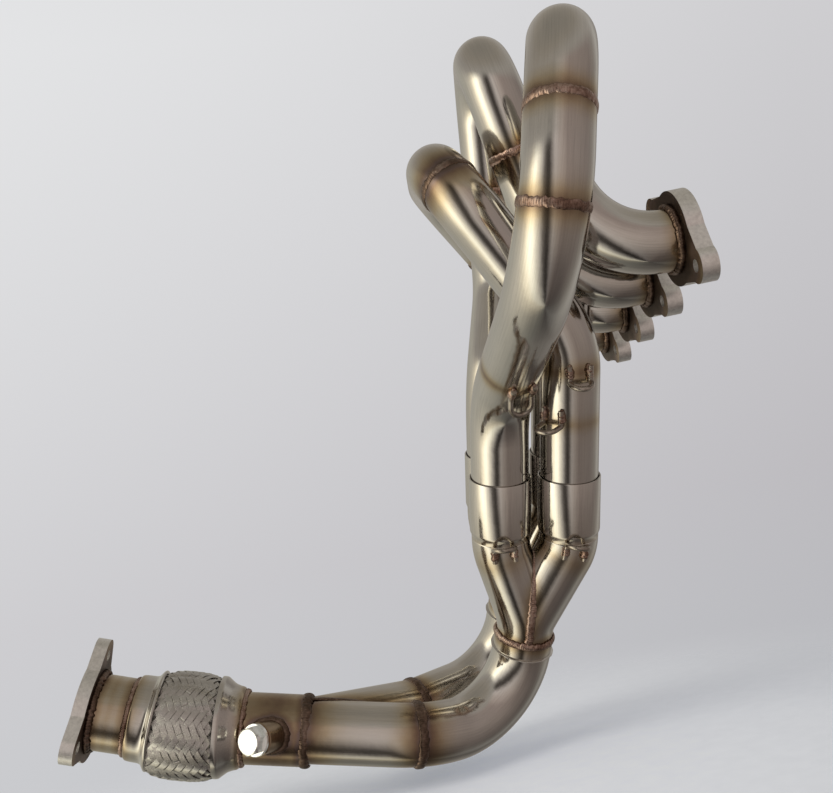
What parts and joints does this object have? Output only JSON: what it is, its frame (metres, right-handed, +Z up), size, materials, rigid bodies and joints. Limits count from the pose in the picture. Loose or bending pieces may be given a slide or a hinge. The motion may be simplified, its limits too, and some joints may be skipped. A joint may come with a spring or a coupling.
{
  "type": "exhaust manifold",
  "caption": "Tubular stainless exhaust manifold that joins its primaries in pairs at slip joints and ends in a braided flex section.",
  "frame": {"origin": "centre of the gasket face of port 1", "axes": "+X into the cylinder head along the port, +Y along the port row to cylinder 4, +Z up the head face"},
  "size_m": [0.5327, 0.433, 0.5655],
  "materials": {
    "port_flange": "laser cut stainless plate with a dull heat-darkened back",
    "primary_tube": "polished along the tube with heat tint near each weld",
    "hook_wire": "bright wire with tinted weld tacks",
    "merge_tube": "polished with heat tint near each weld",
    "secondary_tube": "polished with heat tint near each weld",
    "final_merge": "satin with a strong straw and brown tint",
    "sensor_pipe": "satin with heat tint round the boss",
    "sensor_boss": "machined",
    "sensor_plug": "bright zinc plating",
    "plug_washer": "bare copper",
    "ferrule": "pressed and lightly brushed",
    "flex_liner": "matt",
    "flex_bellows": "satin",
    "flex_braid": "woven bright wire",
    "outlet_stub": "polished with heat tint at both welds",
    "outlet_flange": "laser cut stainless plate with a machined edge",
    "weld_bead": "rippled weld with a copper, straw and violet tint"
  },
  "bodies": {
    "header": {"port_flange_1": "port_flange", "port_flange_2": "port_flange", "port_flange_3": "port_flange", "port_flange_4": "port_flange", "primary_1_port_bend": "primary_tube", "primary_1_top_bend": "primary_tube", "primary_1_upper_leg": "primary_tube", "primary_1_tail": "primary_tube", "primary_2_port_bend": "primary_tube", "primary_2_top_bend": "primary_tube", "primary_2_tail": "primary_tube", "primary_3_port_bend": "primary_tube", "primary_3_top_bend": "primary_tube", "primary_3_tail": "primary_tube", "primary_4_port_bend": "primary_tube", "primary_4_top_bend": "primary_tube", "primary_4_tail": "primary_tube", "upper_spring_hooks": "hook_wire"},
    "collector": {"lower_spring_hooks": "hook_wire", "front_merge_left": "merge_tube", "front_merge_right": "merge_tube", "rear_merge_left": "merge_tube", "rear_merge_right": "merge_tube", "front_secondary": "secondary_tube", "rear_secondary": "secondary_tube", "final_merge_front": "final_merge", "final_merge_rear": "final_merge", "sensor_pipe": "sensor_pipe", "sensor_boss": "sensor_boss", "sensor_plug": "sensor_plug", "plug_washer": "plug_washer", "flex_inlet_ferrule": "ferrule"},
    "flex_core": {"flex_liner": "flex_liner", "flex_bellows": "flex_bellows", "flex_braid": "flex_braid"},
    "outlet": {"flex_outlet_ferrule": "ferrule", "outlet_stub": "outlet_stub", "outlet_flange": "outlet_flange"}
  },
  "joints": [
    {"name": "collector_slip", "type": "slide", "parent": "header", "child": "collector", "axis": [-0.1574, 0.4226, -0.8925], "range_m": [0, 0.025]},
    {"name": "flex_yaw", "type": "hinge", "parent": "collector", "child": "flex_core", "pos_m": [-0.44, 0.124, -0.27], "axis": [0.3124, 0.0304, 0.9495], "range_deg": [-8, 8], "deforming": ["flex_bellows", "flex_braid"]},
    {"name": "flex_pitch", "type": "hinge", "parent": "flex_core", "child": "outlet", "pos_m": [-0.44, 0.124, -0.27], "axis": [0.0967, -0.9953, 0], "range_deg": [-8, 8], "deforming": ["flex_bellows", "flex_braid"]}
  ]
}
